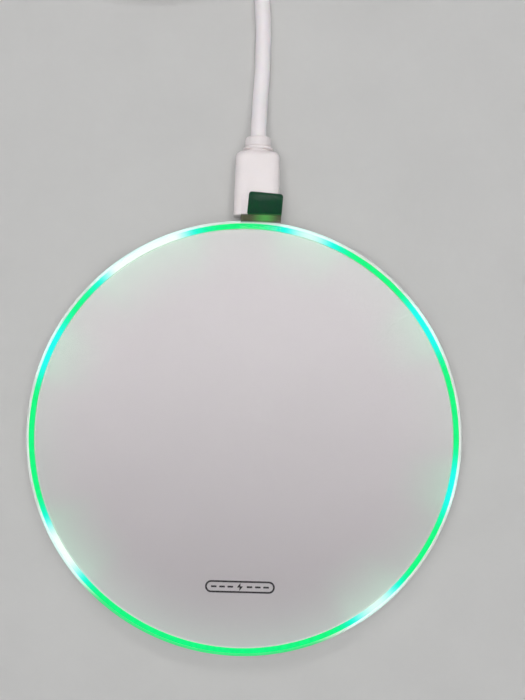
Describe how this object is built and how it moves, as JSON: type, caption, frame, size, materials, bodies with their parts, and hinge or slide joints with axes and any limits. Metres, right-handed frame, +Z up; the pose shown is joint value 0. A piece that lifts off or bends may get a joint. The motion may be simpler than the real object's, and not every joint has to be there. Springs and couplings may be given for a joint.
{
  "type": "wireless charging pad",
  "caption": "Round desk charging pad with a lit ring, a glossy top panel, peel-off film and a detachable coiled lead.",
  "frame": {"origin": "centre of the pad's underside, on the desk", "axes": "+Z up, out of the charging face; +Y from the pad's centre towards the lead's socket; +X to the right seen from above"},
  "size_m": [0.1, 0.2267, 0.0088],
  "materials": {
    "white_shell": "satin moulded",
    "foot_rubber": "matte",
    "label_paper": "satin",
    "steel": "nickel plated",
    "board": "solder mask",
    "black_plastic": "moulded",
    "gold": "plated",
    "chip": "moulded",
    "capacitor": "fired",
    "bead": "dipped",
    "ferrite": "sintered",
    "copper": "enamelled wire",
    "tray_white": "moulded",
    "adhesive": "film",
    "panel": "polished",
    "ink": "printed",
    "clear_film": "clear",
    "green_tab": "translucent",
    "lead_white": "soft moulded",
    "tie_strap": "woven",
    "led": "lit lens",
    "light_ring": "clear, lit"
  },
  "bodies": {
    "pad": {"base_shell": "white_shell", "foot_ring": "foot_rubber", "rating_label": "label_paper", "case_screws": "steel", "circuit_board": "board", "socket_shell": "steel", "socket_tongue": "black_plastic", "socket_contacts": "gold", "edge_leds": "led", "controller_chip": "chip", "bridge_transistors": "chip", "resonant_capacitors": "capacitor", "filter_capacitors": "capacitor", "power_inductor": "ferrite", "clock_crystal": "steel", "chip_resistors": "chip", "thermistor": "bead", "ferrite_disc": "ferrite", "transmitter_coil": "copper", "coil_leads": "copper", "coil_tray": "tray_white", "panel_adhesive": "adhesive", "light_guide": "light_ring", "top_panel": "panel", "printed_mark": "ink"},
    "film": {"protective_film": "clear_film", "pull_tab": "green_tab"},
    "lead": {"plug_grip": "lead_white", "plug_shell": "steel", "plug_insulator": "black_plastic", "plug_contacts": "gold", "plug_latches": "steel", "strain_relief": "lead_white", "cord": "lead_white", "cord_coil": "lead_white", "cord_tail": "lead_white", "cable_tie": "tie_strap", "supply_relief": "lead_white", "supply_grip": "lead_white", "supply_shell": "steel", "supply_tongue": "tray_white", "supply_contacts": "gold"}
  },
  "joints": [
    {"name": "film_lift", "type": "slide", "parent": "pad", "child": "film", "axis": [0, 0, 1], "range_m": [0, 0.03]},
    {"name": "plug_pull", "type": "slide", "parent": "pad", "child": "lead", "axis": [0, 1, 0], "range_m": [0, 0.012]}
  ]
}
